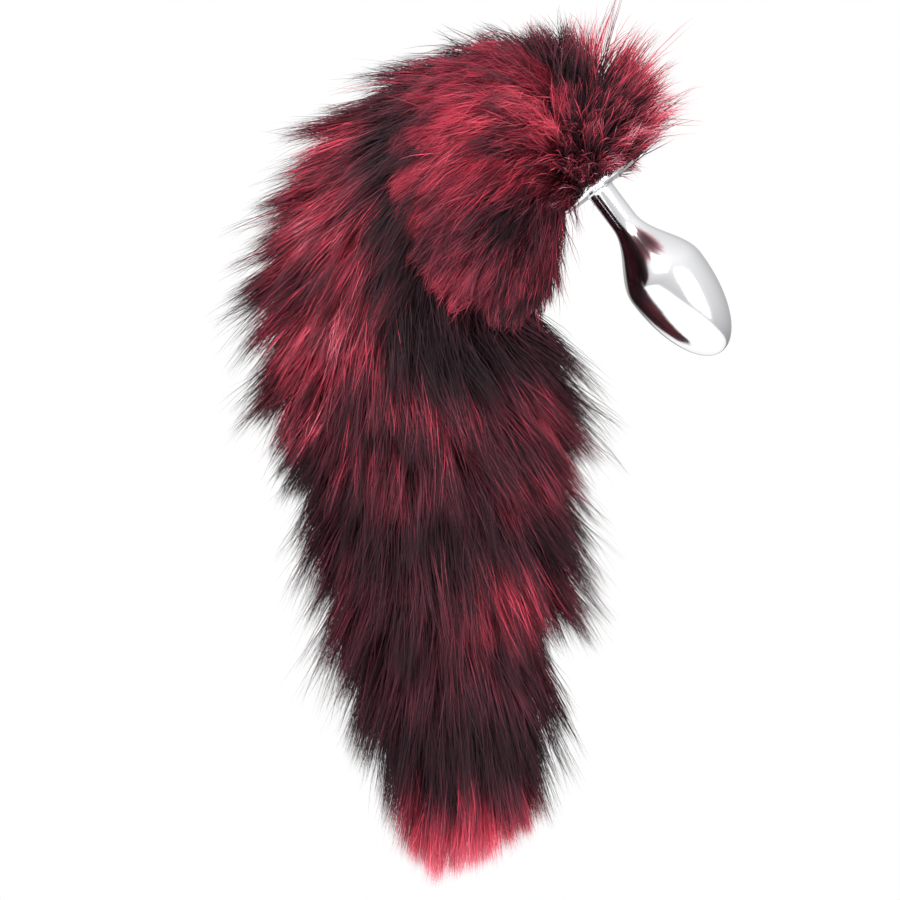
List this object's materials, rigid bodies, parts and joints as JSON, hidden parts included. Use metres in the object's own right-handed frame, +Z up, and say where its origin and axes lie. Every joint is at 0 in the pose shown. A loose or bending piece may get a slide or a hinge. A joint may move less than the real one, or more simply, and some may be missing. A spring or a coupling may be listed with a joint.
{
  "type": "tail butt plug",
  "caption": "Fluffy dyed fur costume tail that arches from its root and hangs to a pale tip, fixed to the round base of a smooth drop-shaped metal plug.",
  "frame": {"origin": "the middle of the front face of the plug's round base, on the plug's axis, where the thing sits when it is worn", "axes": "+Z up as the tail hangs, +X to the right and -Y to the front as seen in the picture"},
  "size_m": [0.1678, 0.1303, 0.2951],
  "materials": {
    "dyed_fur": "long soft fox fur dyed red over dark guard hair, in bands, with a pale pink tip",
    "polished_metal": "polished, mirror-like"
  },
  "bodies": {
    "root": {"fur_tail": "dyed_fur", "plug": "polished_metal"}
  },
  "joints": []
}
